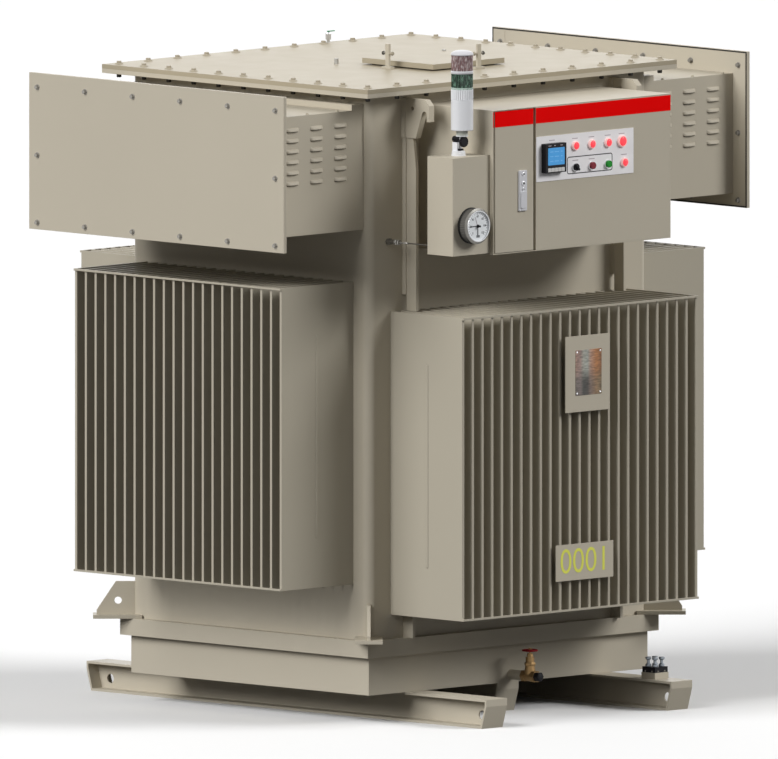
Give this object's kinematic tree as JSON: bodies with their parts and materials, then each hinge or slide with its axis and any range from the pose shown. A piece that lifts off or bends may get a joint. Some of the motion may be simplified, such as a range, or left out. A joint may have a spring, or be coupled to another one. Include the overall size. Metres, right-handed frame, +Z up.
{
  "type": "induction voltage regulator",
  "caption": "Oil-filled induction voltage regulator with radiators, end terminal boxes and a control cabinet, on skids.",
  "frame": {"origin": "on the floor under the centre of the tank", "axes": "+X to the right along the front, -Y out of the front where the control cabinet is, +Z up"},
  "size_m": [2.24, 1.922, 2.316],
  "materials": {
    "body_paint": "semi-gloss pebble-grey paint",
    "fin_paint": "semi-gloss pebble-grey paint",
    "instrument_white": "satin white",
    "black_plastic": "matt black",
    "lamp_red": "translucent red",
    "lens_green": "translucent dark green",
    "tower_white": "gloss white",
    "silver": "satin",
    "brass": "cast",
    "red_enamel": "gloss red enamel"
  },
  "bodies": {
    "machine": {"back_radiator": "fin_paint", "band_long_bars": "body_paint", "band_short_bars": "body_paint", "base_long_walls": "body_paint", "base_short_walls": "body_paint", "cabinet_body": "body_paint", "capillary_tube": "silver", "drain_pipe": "body_paint", "drain_valve": "brass", "earth_studs": "silver", "flange_long_bars": "body_paint", "flange_short_bars": "body_paint", "front_panel": "body_paint", "front_radiator": "fin_paint", "hatch_clamps": "body_paint", "hatch_cover": "body_paint", "instrument_plate": "instrument_white", "jacking_lugs": "body_paint", "ledge_tubes": "body_paint", "left_radiator": "fin_paint", "left_skid": "body_paint", "left_terminal_box": "body_paint", "left_terminal_cover": "body_paint", "lid": "body_paint", "lid_fittings": "body_paint", "lifting_hooks": "body_paint", "middle_skid": "body_paint", "number_plate": "body_paint", "outlet_plug": "black_plastic", "panel_meter": "black_plastic", "push_buttons": "black_plastic", "rating_bracket": "body_paint", "right_radiator": "fin_paint", "right_skid": "body_paint", "right_terminal_box": "body_paint", "right_terminal_cover": "body_paint", "signal_lamps": "lamp_red", "stud_slab": "black_plastic", "stud_support": "body_paint", "tank_back_wall": "body_paint", "tank_floor": "body_paint", "tank_front_wall": "body_paint", "tank_left_wall": "body_paint", "tank_right_wall": "body_paint", "thermometer_box": "body_paint", "thermometer_dial": "silver", "tower_foot": "tower_white", "tower_knob": "black_plastic"},
    "door": {"cabinet_door": "body_paint", "door_lock": "silver"},
    "handwheel": {"handwheel": "red_enamel"},
    "tower": {"tower_body": "tower_white", "green_lens": "lens_green", "red_lens": "lamp_red", "tower_cap": "tower_white"}
  },
  "joints": [
    {"name": "door_hinge", "type": "hinge", "parent": "machine", "child": "door", "pos_m": [-0.4137, -0.92, 1.8595], "axis": [0, 0, -1], "range_deg": [0, 90]},
    {"name": "valve_wheel", "type": "hinge", "parent": "machine", "child": "handwheel", "pos_m": [0.012, -0.664, 0.214], "axis": [0, 0, 1], "range_deg": [0, 1800]},
    {"name": "tower_fold", "type": "hinge", "parent": "machine", "child": "tower", "pos_m": [-0.51545, -0.859, 2.003], "axis": [0, -1, 0], "range_deg": [0, 90]}
  ]
}
